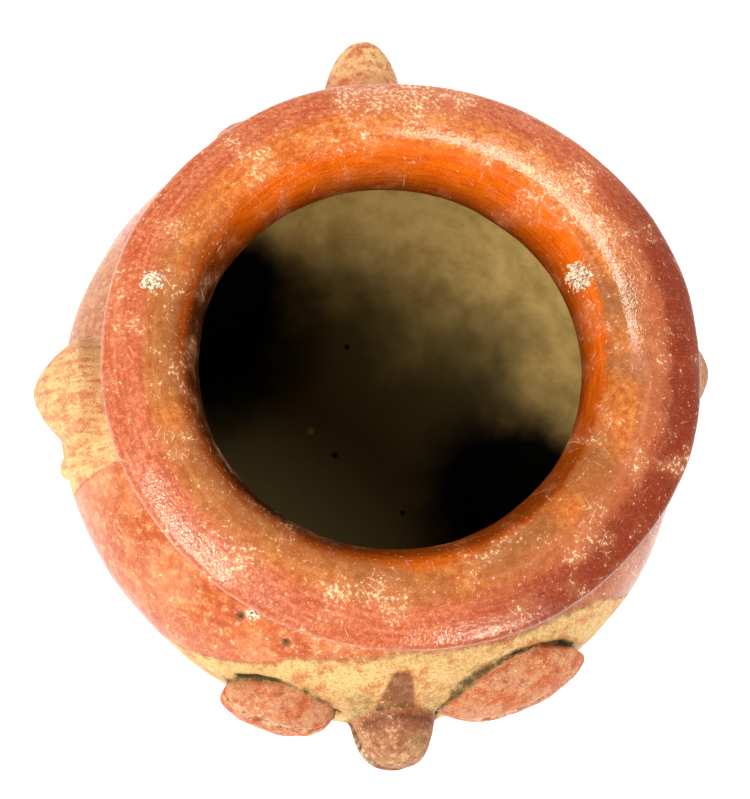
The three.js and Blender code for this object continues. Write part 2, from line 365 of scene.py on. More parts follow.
def hand_made(points):
    """How far the wall's outer face stands out from its drawn outline, along its normal."""
    rise = waves(points, WALL_WAVES, 1) * smoothstep(points[..., 2], 1, 14)
    for line, depth, width in CREASES:
        rise = rise - depth * bump(polyline_distance(points, line), 0, width)
    for azimuth, height, radius in PITS:
        apart = distance_to(points, on_wall(azimuth, height))
        rise = rise - PIT_DEPTH * np.exp(-((apart / radius) ** 2.6))
        rise = rise + PIT_EDGE_RISE * bump(apart, 1.6 * radius, 0.8)
    return rise


def rim_made(points):
    """The same for the rim, the throat and the inside."""
    ragged = SPALL_RADIUS * (1 + 0.3 * noise(points, 3, 7))
    spalled = 1 - smoothstep(distance_to(points, SPALL), ragged - 1, ragged)
    return waves(points, RIM_WAVES, 4) - SPALL_DEPTH * spalled


# Lumps on the wall


@dataclass
class Lump:
    azimuth: float
    rise: float  # above the belly
    reach: float  # out of the wall
    half_width: float
    half_height: float
    bluntness: float = 2.2
    flare: float = 0.0
    lift: float = 0.0  # upward tilt in degrees
    lean: float = 0.0  # of the tip along the wall
    laid: bool = False  # bent round the wall along its root
    fillet: float = 3.0  # width of the clay smeared between the lump and the wall
    roughness: float = 0.3  # height of its dents
    margin: float = 9.0  # of its patch of wall beyond the lump
    depth: float = 20.0  # behind the wall, of the point that the patch is drawn from

    @property
    def height(self):
        return BELLY_HEIGHT + self.rise

    @property
    def angle(self):
        return math.radians(self.azimuth)

    @property
    def radius(self):
        return float(outer_radius(self.height))

    @property
    def span(self):
        """Half the patch's width and height."""
        widen = 1 + self.flare
        return self.half_width * widen + self.margin, self.half_height * widen + self.margin


SNOUT = Lump(-91, 6, 14.5, 12.5, 11, bluntness=2.4, flare=0.15, lift=4, fillet=2.2)
MUZZLE_TOP = replace(SNOUT, half_width=11.5, lean=1)
JAW = replace(SNOUT, reach=15.3, lean=-0.8)
LEFT_EYE = Lump(
    -110.3, 6, 9, 17.5, 12.5, bluntness=2.6, lean=-4, laid=True, fillet=1.2, roughness=0.7, margin=8
)
RIGHT_EYE = Lump(
    -70.5, 13, 7, 24, 15, bluntness=2.6, lean=9, laid=True, fillet=1.0, roughness=0.5, margin=8
)
LEFT_LUG = Lump(-177.5, 20, 13, 16, 17, bluntness=1.5, flare=0.1, lift=8, fillet=3, margin=8)
RIGHT_LUG = Lump(3, 20, 13, 16, 17, bluntness=1.5, flare=0.1, lift=8, fillet=3, margin=8)
TAIL = Lump(93.5, 25, 27.5, 14, 12.5, bluntness=2.1, flare=0.1, lift=14, lean=-2, fillet=3.5, depth=24)
REAR_PAD_OFFSET = 24
REAR_LEFT = Lump(TAIL.azimuth + REAR_PAD_OFFSET, 20, 7, 10, 12, laid=True, fillet=2.5)
REAR_RIGHT = Lump(TAIL.azimuth - REAR_PAD_OFFSET, 20, 7, 10, 12, laid=True, fillet=2.5)
BAND_DROP = 4
BAND_REACH = 2.5
BAND_HALF_WIDTH = 3
BAND_HALF_HEIGHT = 19


def side_band(lug, toward_snout):
    offset = lug.half_width + BAND_HALF_WIDTH
    azimuth = lug.azimuth + toward_snout * math.degrees(offset / lug.radius)
    rise = lug.rise - BAND_DROP
    sizes = (BAND_REACH, BAND_HALF_WIDTH, BAND_HALF_HEIGHT)
    return Lump(azimuth, rise, *sizes, laid=True, fillet=1.5, margin=5)


LEFT_BAND = side_band(LEFT_LUG, 1)
RIGHT_BAND = side_band(RIGHT_LUG, -1)

# Where two patches of wall share a stretch, the one that comes first here shows it
LUMPS = [SNOUT, LEFT_EYE, RIGHT_EYE, LEFT_LUG, RIGHT_LUG, LEFT_BAND, RIGHT_BAND, TAIL, REAR_LEFT, REAR_RIGHT]

# Distance up the wall's slope at each of these heights
ARC_HEIGHTS = np.linspace(10, 131, 2400)
ARC = lengths_along(np.column_stack([outer_radius(ARC_HEIGHTS), ARC_HEIGHTS]))


def wall_distance(points):
    """Distance out of the drawn wall, exact on it and close to exact near it."""
    radius = np.hypot(points[..., 0], points[..., 1])
    height = points[..., 2] - BELLY_HEIGHT
    extent = extent_at(points[..., 2])
    value = np.sqrt((radius / BELLY_RADIUS) ** 2 + (height / extent) ** 2)
    slope = np.sqrt((radius / BELLY_RADIUS**2) ** 2 + (height / extent**2) ** 2) / value
    return (value - 1) / slope


def wall_place(lump, out, along, up):
    """The point at a distance out of the wall, along it and up its slope from a lump's root."""
    arc = np.interp(lump.height, ARC_HEIGHTS, ARC) + up
    height = np.interp(arc, ARC, ARC_HEIGHTS)
    radius = outer_radius(height)
    normal_r = radius / BELLY_RADIUS**2
    normal_z = (height - BELLY_HEIGHT) / extent_at(height) ** 2
    length = np.hypot(normal_r, normal_z)
    angle = lump.angle + along / lump.radius
    return spun(radius + out * normal_r / length, angle, height + out * normal_z / length)


def along_wall(lump, points):
    return np.radians(turn_between(azimuth_of(points), lump.azimuth)) * lump.radius


def patch_coordinates(lump, points):
    """How far along the wall and up its slope a point on the wall lies from a lump's root."""
    arc = np.interp(points[..., 2], ARC_HEIGHTS, ARC)
    return along_wall(lump, points), arc - np.interp(lump.height, ARC_HEIGHTS, ARC)


def patch_share(lump, along, up):
    """From 0 in the middle of a lump's patch to 1 at its border."""
    half_along, half_up = lump.span
    return ((along / half_along) ** 4 + (up / half_up) ** 4) ** 0.25


COVER_DEPTH = 1.2


def cover(lump, points):
    """How deep the wall is tucked away behind a lump's patch."""
    share = patch_share(lump, *patch_coordinates(lump, points))
    return COVER_DEPTH * (1 - smoothstep(share, 0.72, 0.86))


def to_spot(lump, points):
    """Outward, along the wall and up from a lump's root."""
    x, y, z = points[..., 0], points[..., 1], points[..., 2]
    up = z - lump.height
    if lump.laid:
        return np.hypot(x, y) - outer_radius(z), along_wall(lump, points), up
    ahead, aside = math.cos(lump.angle), math.sin(lump.angle)
    return x * ahead + y * aside - lump.radius, y * ahead - x * aside, up


def lump_value(lump, points):
    """Below 0 inside a lump and above 0 outside it."""
    out, along, up = to_spot(lump, points)
    lift = math.radians(lump.lift)
    out, up = out * math.cos(lift) + up * math.sin(lift), up * math.cos(lift) - out * math.sin(lift)
    along = along - lump.lean * out / lump.reach
    share = np.clip(out / lump.reach, 0, None)
    widen = 1 + lump.flare * np.clip(1 - share, 0, 1) ** 3
    across = np.hypot(along / (lump.half_width * widen), up / (lump.half_height * widen))
    return (across**lump.bluntness + share**lump.bluntness) ** (1 / lump.bluntness) - 1


def lump_distance(lump, points):
    """Distance out of a dented lump, close to exact near it."""
    value = lump_value(lump, points)
    step = 0.05
    slopes = [(lump_value(lump, points + step * axis) - value) / step for axis in np.eye(3)]
    steepness = np.sqrt(sum(slope**2 for slope in slopes))
    return value / np.maximum(steepness, 0.005) - lump.roughness * waves(points, LUMP_WAVES, 8)


SLIT_GAP = 0.5
LIP_ROUNDING = 1.0


@dataclass
class Patch:
    """A lump, or the half of it on one side of a slit, with the wall round its root."""

    name: str
    lump: Lump
    side: int = 0  # 1 above a slit, -1 below it and 0 without one
    slit: tuple = (0.0, 0.0)  # the slit's place up the slope at the root, and its arch
    form: Lump = None  # where this half is of another size than the lump
    under: Lump = None  # the other half's form, where this one's ledge shows beyond it
    overlap: float = 0.0  # how far the patch runs on beyond its slit, behind the other half
    soiled: float = 1.0  # how much soil lies in the slit
    slot: str = "worn_clay"


def slit_line(patch, along):
    level, arch = patch.slit
    return level + arch * along**2


def patch_rays(patch, count_along, count_up):
    """Where the patch's grid leaves the wall, closer together towards its slit."""
    half_along, half_up = patch.lump.span
    along = np.linspace(-half_along, half_along, count_along)[None, :]
    if patch.side == 0:
        up = np.linspace(-half_up, half_up, count_up)[:, None]
        return np.broadcast_arrays(along, up)
    share = np.linspace(0, 1, count_up)[:, None] ** 1.7
    start = slit_line(patch, along) - patch.side * patch.overlap
    up = start + (patch.side * half_up - start) * share
    along, up = np.broadcast_arrays(along, up)
    # The grid runs the same way round on both sides of the slit
    return (along, up) if patch.side > 0 else (along[::-1], up[::-1])


def tip_offset(lump):
    """How far along the wall and up its slope a lump's tip lies from straight out of its root."""
    lift = math.radians(lump.lift)
    radius = lump.radius + lump.reach * math.cos(lift)
    height = lump.height + lump.reach * math.sin(lift)
    if lump.laid:
        angle = lump.angle + lump.lean / lump.radius
        tip = np.array([radius * math.cos(angle), radius * math.sin(angle), height])
    else:
        ahead, aside = math.cos(lump.angle), math.sin(lump.angle)
        x = radius * ahead - lump.lean * aside
        tip = np.array([x, radius * aside + lump.lean * ahead, height])
    foot = tip
    for _ in range(12):
        rise = (foot[2] - BELLY_HEIGHT) / SHOULDER_RISE**2
        slope = np.append(foot[:2] / BELLY_RADIUS**2, rise)
        slope /= np.linalg.norm(slope)
        foot = tip - slope * wall_distance(tip)
        foot = foot - slope * wall_distance(foot)
    along, up = patch_coordinates(lump, foot)
    return float(along), float(up), float(wall_distance(tip))


def patch_field(patch, points, up_from_slit, made, tucked):
    """Below 0 inside the wall and the lump blended together, and the distances out of each."""
    lump = patch.lump
    wall = wall_distance(points) - made
    body = lump_distance(patch.form or lump, points)
    if patch.side:
        body = smooth_max(body, SLIT_GAP / 2 - patch.side * up_from_slit, LIP_ROUNDING)
    return smooth_min(wall + tucked, body, lump.fillet), wall, body


# Each ray starts behind the wall's face and looks for the last place that is inside the clay
RAY_START = -3.5
RAY_STEPS = 56
HALVINGS = 14
SHELL_THICKNESS = 0.8


def patch_surface(patch, count_along, count_up):
    """The patch's front: points on a grid, and how its wall and its lump lie there."""
    lump = patch.lump
    along, up = patch_rays(patch, count_along, count_up)
    tip_along, tip_up, tip_out = tip_offset(lump)
    share = patch_share(lump, along, up)
    root = wall_place(lump, 0, along, up)
    made = hand_made(root)
    tucked = 0.5 * smoothstep(share, 0.8, 1)
    for other in LUMPS[: LUMPS.index(lump)]:
        tucked = tucked + cover(other, root)
    if patch.overlap:
        tucked = tucked + 0.3 * smoothstep(patch.side * (slit_line(patch, along) - up), 0, 0.5)

    def at(out):
        reach = (out + lump.depth) / lump.depth
        lean = out / tip_out
        ray_up = up * reach + tip_up * lean
        points = wall_place(lump, out, along * reach + tip_along * lean, ray_up)
        return points, ray_up - slit_line(patch, along * reach)

    def is_inside(out):
        return patch_field(patch, *at(out), made, tucked)[0] < 0

    outs = np.linspace(RAY_START, tip_out * 1.12 + 1.5, RAY_STEPS)
    low = np.full(along.shape, RAY_START)
    for out in outs:
        low = np.where(is_inside(out), out, low)
    high = low + (outs[1] - outs[0])
    for _ in range(HALVINGS):
        middle = (low + high) / 2
        inside = is_inside(middle)
        low = np.where(inside, middle, low)
        high = np.where(inside, high, middle)
    points, above = at((low + high) / 2)
    _, wall, body = patch_field(patch, points, above, made, tucked)
    back = wall_place(lump, -SHELL_THICKNESS - 1.1 * tucked, along * 0.995, up)
    return points, root, back, share, wall, body, above


def wall_normals(points):
    """Normals of the wall's hand-made face at points on it."""
    step = 0.3
    slopes = []
    for axis in np.eye(3):
        ahead, behind = points + step * axis, points - step * axis
        rise = wall_distance(ahead) - hand_made(ahead) - wall_distance(behind) + hand_made(behind)
        slopes.append(rise / (2 * step))
    return unit(np.stack(slopes, -1))


def grid_normals(points, wrap_columns):
    down = np.gradient(points, axis=0)
    if wrap_columns:
        across = np.roll(points, -1, axis=1) - np.roll(points, 1, axis=1)
    else:
        across = np.gradient(points, axis=1)
    return unit(np.cross(across, down))


# Zones of colour, from 0 to 1


# The upper border of the face's pale slip, as (azimuth, height)
CREAM_TOP = [(-135, 84), (-128, 93), (-123.7, 99), (-111.5, 112), (-92.8, 118.5)]
CREAM_TOP += [(-72.8, 117.5), (-59, 115.5), (-49, 111), (-42, 98), (-36, 84)]
CREAM_BOTTOM = 66
CREAM_BOTTOM_RISE = 14  # at 45 degrees from the snout


def cream_zone(points):
    """The pale slip round the face."""
    azimuth, height = azimuth_of(points), points[..., 2]
    known = np.array(CREAM_TOP, float)
    top = np.interp(azimuth, known[:, 0], known[:, 1], left=0, right=0)
    bottom = CREAM_BOTTOM + CREAM_BOTTOM_RISE * (np.abs(turn_between(azimuth, SNOUT.azimuth)) / 45) ** 2
    return smoothstep(top - height, -2.5, 2.5) * smoothstep(height - bottom, -4, 4)


def lug_zone(points):
    """The pale slip round each side lug, fainter behind it."""
    total = 0
    for lug in (LEFT_LUG, RIGHT_LUG):
        backward = math.copysign(1, math.cos(math.radians(lug.azimuth)))
        turn = turn_between(azimuth_of(points), lug.azimuth) * backward
        wide = window(turn, -16.5, -14.5, 9, 10.5) + 0.42 * window(turn, 9, 10.5, 24, 40)
        total = total + wide * smoothstep(points[..., 2], 60, 90)
    return np.clip(total, 0, 1) * (points[..., 2] < NECK_HEIGHT)


def soil_zone(points):
    """Soil left in the creases and pits, and olive darkening on each side of the snout's bridge."""
    left = bump(polyline_distance(points, LEFT_CREASE), 0, 1.1)
    right = 1 - smoothstep(polyline_distance(points, RIGHT_CREASE), 1.3, 2.3)
    soil = np.maximum(left, right)
    for azimuth, height, radius in PITS:
        apart = distance_to(points, on_wall(azimuth, height))
        soil = np.maximum(soil, 0.9 * bump(apart, 0, 0.75 * radius))
    azimuth, height = azimuth_of(points), points[..., 2]
    # Olive darkening on each side of the snout's bridge
    bridge_darkening = 0.5 * bump(turn_between(azimuth, -98), 0, 5) + 0.4 * bump(turn_between(azimuth, -84), 0, 5)
    return np.clip(np.maximum(soil, bridge_darkening * window(height, 88, 97, 104, 114)), 0, 1)


def red_spot(points):
    """The red mark painted above the snout: narrow on top and wider below."""
    azimuth, height = azimuth_of(points), points[..., 2]
    width = np.interp(height, [98, 104, 110, 115], [3.6, 3.2, 2.4, 1.4])
    spot = 1 - smoothstep(np.abs(turn_between(azimuth, -91.9)), width - 0.9, width + 0.9)
    return spot * window(height, 95, 99, 113, 115.5)


def new_mesh(name, points, faces, normals, zones):
    mesh = bpy.data.meshes.new(name)
    mesh.from_pydata((points * MM).tolist(), [], faces)
    for key, values in zones.items():
        layer = mesh.attributes.new(key, "FLOAT", "POINT")
        layer.data.foreach_set("value", values.astype(np.float32))
    mesh.polygons.foreach_set("use_smooth", [True] * len(mesh.polygons))
    mesh.update()
    corner_vertices = np.empty(len(mesh.loops), np.int32)
    mesh.loops.foreach_get("vertex_index", corner_vertices)
    mesh.normals_split_custom_set(normals[corner_vertices].tolist())
    return mesh


def add_object(name, data):
    item = bpy.data.objects.new(name, data)
    bpy.context.scene.collection.objects.link(item)
    return item


def add_piece(node, mesh, slot, materials):
    piece = add_object(f"{node}_fired", mesh)
    mesh.materials.append(materials[slot])
    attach(piece, "root")
    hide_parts(node)


def grid_faces(rows, columns, first=0, wrap=False):
    """Quads between neighbouring rows and columns of a grid of vertices."""
    last = columns if wrap else columns - 1
    faces = []
    for i in range(rows - 1):
        for j in range(last):
            k = (j + 1) % columns
            a, b = first + i * columns, first + (i + 1) * columns
            faces.append((a + j, a + k, b + k, b + j))
    return faces


def zone_values(points, drawn, **given):
    """The colour zones at points, from the drawn wall below them where creases are concerned.

    A zone that isn't given is 0."""
    zones = {
        "cream": cream_zone(points),
        "side_cream": lug_zone(points),
        "soil": soil_zone(drawn),
        "spot": red_spot(points),
    }
    for key in ("lump", "ridge", "crevice", "out", "arc"):
        zones[key] = np.broadcast_to(given.get(key, 0.0), points.shape[:-1])
    return {key: np.ascontiguousarray(values).reshape(-1) for key, values in zones.items()}


RIM_BLEND_ROWS = 6  # over which the wall's unevenness becomes the rim's
FADING_ROWS = 12  # over which the unevenness dies down to the floor's centre


def wall_grid():
    """The jar's whole wall as a grid: its points, where they are drawn, their normals, the
    outline and the rows of each ring."""
    outline, spans = jar_rows()
    outline = softened(outline)
    tangent = unit(np.gradient(outline, axis=0))
    normal = np.column_stack([tangent[:, 1], -tangent[:, 0]])
    azimuth = np.radians(jar_columns())
    drawn, out = (spun(pairs[:, :1], azimuth, pairs[:, 1:]) for pairs in (outline, normal))
    rim_foot = spans[RIM][0][0]
    rise = hand_made(drawn)
    upper = rise[rim_foot:]
    share = smoothstep(np.arange(len(upper)), 0, RIM_BLEND_ROWS)[:, None]
    rise[rim_foot:] = rim_made(drawn[rim_foot:]) * share + upper * (1 - share)
    rise[-FADING_ROWS:] *= np.linspace(1, 0, FADING_ROWS)[:, None]
    tucked = np.zeros_like(rise)
    for lump in LUMPS:
        tucked[:rim_foot] += cover(lump, drawn[:rim_foot])
    smooth = bend_by_hand(drawn + out * rise[..., None])
    points = bend_by_hand(drawn + out * (rise - tucked)[..., None])
    return points, drawn, grid_normals(smooth, True), outline, spans


def row_arc(outline):
    """Each row's distance along the outline from the crest, above 0 on the outside."""
    along = lengths_along(outline)
    return along[np.argmax(outline[:, 1])] - along


def ring_piece(ring, grid, materials):
    """One ring of the wall, closed by its faces between the outer and the inner stretch."""
    points, drawn, normals, outline, spans = grid
    columns = points.shape[1]
    rows = [row for first, last in spans[ring] for row in range(first, last + 1)]
    arc = row_arc(outline)[:, None]
    centre = []
    if ring == BASE:
        rows = rows[1:-1]
        centre = [points[0].mean(0), points[-1].mean(0)]
    vertices = points[rows].reshape(-1, 3)
    shading = normals[rows].reshape(-1, 3)
    values = zone_values(points[rows], drawn[rows], arc=arc[rows])
    faces = grid_faces(len(rows), columns, wrap=True)
    last = (len(rows) - 1) * columns
    count = len(vertices)
    for j in range(columns):
        k = (j + 1) % columns
        if centre:
            faces.append((count, k, j))
            faces.append((count + 1, last + j, last + k))
        else:
            faces.append((last + j, last + k, k, j))
    if centre:
        vertices = np.vstack([vertices, centre])
        shading = np.vstack([shading, [[0, 0, -1], [0, 0, 1]]])
        for key in values:
            ends = [arc[0, 0], arc[-1, 0]] if key == "arc" else [0.0, 0.0]
            values[key] = np.append(values[key], ends)
    mesh = new_mesh(RINGS[ring], vertices, faces, shading, values)
    add_piece(RINGS[ring], mesh, "orange_slip" if ring == RIM else "red_slip", materials)


def slit_zones(patch, front, wall, above):
    """Soil in the patch's slit, and the pale edge or ledge along it."""
    from_lip = patch.side * above - SLIT_GAP / 2
    soil = patch.soiled * bump(from_lip, 0, 0.5) * smoothstep(wall, 0, 1)
    if patch.under is None:
        return soil, 0.6 * bump(from_lip, 0.5, 0.45) * smoothstep(wall, 3, 5)
    bare = smoothstep(lump_distance(patch.under, front), 1.3, 1.8)
    return soil * (1 - bare), bare * smoothstep(wall, 1, 3)


def patch_zones(patch, front, root, wall, body, above):
    lump = smoothstep(wall - body, -1.5, 1.5) * smoothstep(wall, 0.2, 1.8)
    crevice = bump(np.abs(wall) + np.abs(body), 0, 1.8)
    ridge = 0.0
    if patch.side:
        soil, ridge = slit_zones(patch, front, wall, above)
        crevice = np.maximum(crevice, soil)
    out = wall * lump if patch.lump is SNOUT else 0.0
    values = zone_values(front, root, lump=lump, crevice=crevice, ridge=ridge, out=out)
    values["soil"] = values["soil"] * (1 - smoothstep(values["lump"], 0.4, 1))
    values["spot"] = values["spot"] * (1 - values["lump"])
    return values


def shell_faces(rows, columns):
    """A front and a back grid of quads, with quads between their borders."""
    size = rows * columns
    faces = grid_faces(rows, columns)
    faces += [face[::-1] for face in grid_faces(rows, columns, first=size)]
    grid = np.arange(size).reshape(rows, columns)
    sides = [grid[0], grid[1:, -1], grid[-1, -2::-1], grid[-2:0:-1, 0]]
    border = np.concatenate(sides).tolist()
    for a, b in zip(border, border[1:] + border[:1]):
        faces.append((b, a, a + size, b + size))
    return faces


PATCH_STEP = 0.62
HALF_PATCH_ROWS = 46


def patch_piece(patch, materials):
    count_along, count_up = (round(2 * half / PATCH_STEP) for half in patch.lump.span)
    if patch.side:
        count_up = HALF_PATCH_ROWS
    front, root, back, share, wall, body, above = patch_surface(patch, count_along, count_up)
    blend = smoothstep(share, 0.68, 0.8)[..., None]
    made = bend_by_hand(front)
    normals = unit(grid_normals(made, False) * (1 - blend) + wall_normals(front) * blend)
    values = patch_zones(patch, front, root, wall, body, above)
    vertices = np.vstack([made.reshape(-1, 3), bend_by_hand(back).reshape(-1, 3)])
    shading = np.vstack([normals.reshape(-1, 3), -normals.reshape(-1, 3)])
    values = {key: np.concatenate([zone, zone]) for key, zone in values.items()}
    mesh = new_mesh(patch.name, vertices, shell_faces(*share.shape), shading, values)
    add_piece(patch.name, mesh, patch.slot, materials)


LEFT_SLIT = (3.0, -0.006)
RIGHT_SLIT = (-2.5, -0.004)
MOUTH_SLIT = (-2.5, 0.0)

PATCHES = [
    Patch("snout_upper", SNOUT, 1, MOUTH_SLIT, form=MUZZLE_TOP),
    Patch("snout_lower_jaw", SNOUT, -1, MOUTH_SLIT, form=JAW, under=MUZZLE_TOP, overlap=3),
    Patch("left_eye_upper_lid", LEFT_EYE, 1, LEFT_SLIT, soiled=0.3),
    Patch("left_eye_lower_lid", LEFT_EYE, -1, LEFT_SLIT, overlap=3, soiled=0.3),
    Patch("right_eye_upper_lid", RIGHT_EYE, 1, RIGHT_SLIT, soiled=0.3),
    Patch("right_eye_lower_lid", RIGHT_EYE, -1, RIGHT_SLIT, overlap=3, soiled=0.3),
    Patch("left_side_lug", LEFT_LUG, slot="cream_slip"),
    Patch("left_side_band", LEFT_BAND, slot="cream_slip"),
    Patch("right_side_lug", RIGHT_LUG, slot="cream_slip"),
    Patch("right_side_band", RIGHT_BAND, slot="cream_slip"),
    Patch("tail_lug", TAIL),
    Patch("rear_left_pad", REAR_LEFT),
    Patch("rear_right_pad", REAR_RIGHT),
]


# Finishes


def srgb(red, green, blue):
    """A colour given from 0 to 255, as the shader's own numbers."""
    shares = [value / 255 for value in (red, green, blue)]
    return tuple(s / 12.92 if s <= 0.04045 else ((s + 0.055) / 1.055) ** 2.4 for s in shares) + (1.0,)


class Nodes:
    """A node tree that is laid out by short calls."""

    def __init__(self, owner):
        owner.use_nodes = True
        self.tree = owner.node_tree

    def add(self, kind, inputs=None, **settings):
        node = self.tree.nodes.new(kind)
        for key, value in settings.items():
            setattr(node, key, value)
        for key, value in (inputs or {}).items():
            self.feed(node.inputs[key], value)
        return node

    def feed(self, socket, value):
        if isinstance(value, bpy.types.NodeSocket):
            self.tree.links.new(value, socket)
        else:
            socket.default_value = value

    def math(self, operation, *values, clamp=False):
        node = self.add("ShaderNodeMath", operation=operation, use_clamp=clamp)
        for i, value in enumerate(values):
            self.feed(node.inputs[i], value)
        return node.outputs[0]

    def times(self, a, b):
        return self.math("MULTIPLY", a, b)

    def sum(self, a, b):
        return self.math("ADD", a, b)

    def less(self, a, b):
        return self.math("SUBTRACT", a, b)

    def times_plus(self, a, b, c):
        return self.math("MULTIPLY_ADD", a, b, c)

    def stirred(self, value, cloud, amount):
        """A value moved up and down by a cloudy one."""
        return self.times_plus(self.less(cloud, 0.5), amount, value)

    def most(self, *values):
        total = values[0]
        for value in values[1:]:
            total = self.math("MAXIMUM", total, value)
        return total

    def rest(self, value):
        return self.math("SUBTRACT", 1.0, value, clamp=True)

    def step(self, value, low, high):
        node = self.add(
            "ShaderNodeMapRange",
            {"Value": value, "From Min": low, "From Max": high},
            interpolation_type="SMOOTHSTEP",
        )
        return node.outputs[0]

    def fall(self, value, low, high):
        return self.rest(self.step(value, low, high))

    def toward(self, x, y, low, high):
        """From 0 to 1 along a direction seen from above."""
        return self.step(self.times_plus(self.y, y, self.times(self.x, x)), low, high)

    def between(self, value, low, high, softness):
        rise = self.step(value, low - softness, low + softness)
        return self.times(rise, self.fall(value, high - softness, high + softness))

    def zone(self, name):
        return self.add("ShaderNodeAttribute", attribute_name=name).outputs["Fac"]

    def mix(self, share, a, b, blend="MIX"):
        node = self.add("ShaderNodeMix", data_type="RGBA", blend_type=blend)
        for index, value in ((0, share), (6, a), (7, b)):
            self.feed(node.inputs[index], value)
        return node.outputs[2]

    def paint(self, colour, tint, share, *shares):
        """A colour with a tint over it, as strongly as all the shares together say."""
        for more in shares:
            share = self.times(share, more)
        return self.mix(share, colour, tint)


class Finish(Nodes):
    """A material. Its sizes are in millimetres."""

    def __init__(self, name):
        self.material = bpy.data.materials.new(name)
        super().__init__(self.material)
        self.tree.nodes.clear()
        self.place = self.add("ShaderNodeTexCoord").outputs["Object"]
        parts = self.add("ShaderNodeSeparateXYZ", {"Vector": self.place}).outputs
        self.x, self.y, self.z = (self.times(part, 1 / MM) for part in parts)
        squares = self.sum(self.times(self.x, self.x), self.times(self.y, self.y))
        self.radius = self.math("SQRT", squares)
        self.arc = self.zone("arc")
        self.fine = self.grain(0.8, 5.0, 0.7, shift=1.5)
        self.crumbs = self.grain(1.2, 5.0, 0.68, shift=8.0)
        self.blot = self.grain(2.6, 7.0, 0.74, shift=9.0)
        self.coarse = self.grain(6, 6.0, 0.65, shift=2.5)
        self.cloud = self.times_plus(self.blot, 0.5, self.times(self.coarse, 0.5))

    def grain(self, size, detail=2.0, roughness=0.5, shift=0.0, stretch=(1, 1, 1)):
        """Cloudy noise from 0 to 1 whose lumps are about size across, drawn out by stretch."""
        node = self.add("ShaderNodeMapping", {"Vector": self.place})
        node.inputs["Scale"].default_value = [1 / (size * MM * s) for s in stretch]
        node.inputs["Location"].default_value = (shift, 0.7 * shift, 1.3 * shift)
        wanted = {"Vector": node.outputs[0], "Scale": 1.0, "Detail": detail, "Roughness": roughness}
        return self.add("ShaderNodeTexNoise", wanted).outputs[0]

    def strokes(self, width, length, detail=2.0, shift=0.0):
        """Noise drawn out round the jar, as a burnishing stone leaves it."""
        slow = BELLY_RADIUS / length
        cos = self.times(self.math("DIVIDE", self.x, self.radius), slow)
        sin = self.times(self.math("DIVIDE", self.y, self.radius), slow)
        out = self.times(self.radius, 1 / width)
        up = self.times_plus(self.z, 1 / width, shift)
        vector = self.add("ShaderNodeCombineXYZ", {"X": cos, "Y": sin, "Z": out}).outputs[0]
        wanted = {"Vector": vector, "W": up, "Scale": 1.0, "Detail": detail, "Roughness": 0.6}
        return self.add("ShaderNodeTexNoise", wanted, noise_dimensions="4D").outputs[0]

    def scratches(self, turn, width, length, crowding=0.06):
        """Short thin lines that run one way, as seen from above, some of them faint."""
        node = self.add("ShaderNodeMapping", {"Vector": self.place}, vector_type="TEXTURE")
        node.inputs["Location"].default_value = (turn, 0.0, 0.0)
        node.inputs["Rotation"].default_value = (0.0, 0.0, math.radians(turn))
        node.inputs["Scale"].default_value = [0.5 / crowding * MM * side for side in (length, width, 1)]
        wanted = {"Vector": node.outputs[0], "Scale": 1.0}
        cell = self.add("ShaderNodeTexVoronoi", wanted, voronoi_dimensions="2D", feature="F1")
        line = self.fall(cell.outputs["Distance"], 0.4 * crowding, crowding)
        chance = self.add("ShaderNodeSeparateXYZ", {0: cell.outputs["Color"]}).outputs[0]
        return self.times(line, self.step(chance, 0.2, 0.9))

    def distance(self, place):
        node = self.add("ShaderNodeVectorMath", {0: self.place}, operation="DISTANCE")
        node.inputs[1].default_value = [value * MM for value in place]
        return self.times(node.outputs["Value"], 1 / MM)

    def chip(self, place, radius, cloud):
        """A small spot with a ragged edge round a place on the jar."""
        edge = self.math("DIVIDE", self.distance(place), radius)
        edge = self.stirred(edge, cloud, -3.0)
        return self.fall(edge, 0.85, 1.1)

    def haze(self, place, radius):
        """A soft spot, 1 in its middle and 0 at its edge."""
        return self.fall(self.distance(place), 0.25 * radius, radius)

    def ragged(self, zone, cloud, amount, softness):
        """A zone whose edge is broken up by a cloudy value."""
        value = self.stirred(zone, cloud, amount)
        return self.step(value, 0.5 - softness, 0.5 + softness)

    def bumped(self, layers):
        """A normal from heights, each from 0 to 1 and worth its millimetres."""
        total = 0.0
        for height, depth in layers:
            total = self.times_plus(height, depth, total)
        return self.add("ShaderNodeBump", {"Height": total, "Distance": MM}).outputs[0]

    def finish(self, colour, roughness, normal, specular):
        shader = self.add("ShaderNodeBsdfPrincipled", {"Normal": normal})
        self.feed(shader.inputs["Base Color"], colour)
        self.feed(shader.inputs["Roughness"], roughness)
        self.feed(shader.inputs["Specular IOR Level"], specular)
        output = self.add("ShaderNodeOutputMaterial", {"Surface": shader.outputs[0]})
        output.is_active_output = True
        return self.material


BRICK = srgb(202, 110, 72)
MAROON = srgb(118, 36, 16)
SPOT = srgb(112, 46, 30)
PINK = srgb(226, 172, 134)
PURPLE = srgb(146, 72, 52)
DUSKY_PINK = srgb(172, 90, 58)
GOLD = srgb(230, 156, 78)
SALMON = srgb(218, 142, 96)
ORANGE = srgb(204, 106, 40)
THROAT = srgb(232, 104, 4)
THROAT_RED = srgb(198, 78, 4)
DRAB = srgb(138, 84, 46)
# Dark brown painted as shade deep in the throat
THROAT_SHADE = srgb(44, 16, 3)
ORANGE_DARK = srgb(180, 80, 28)
BODY = srgb(198, 100, 54)
RUST = srgb(184, 82, 44)
CREAM = srgb(236, 194, 128)
STRAW = srgb(230, 188, 120)
PALE = srgb(248, 226, 192)
OLIVE = srgb(122, 96, 48)
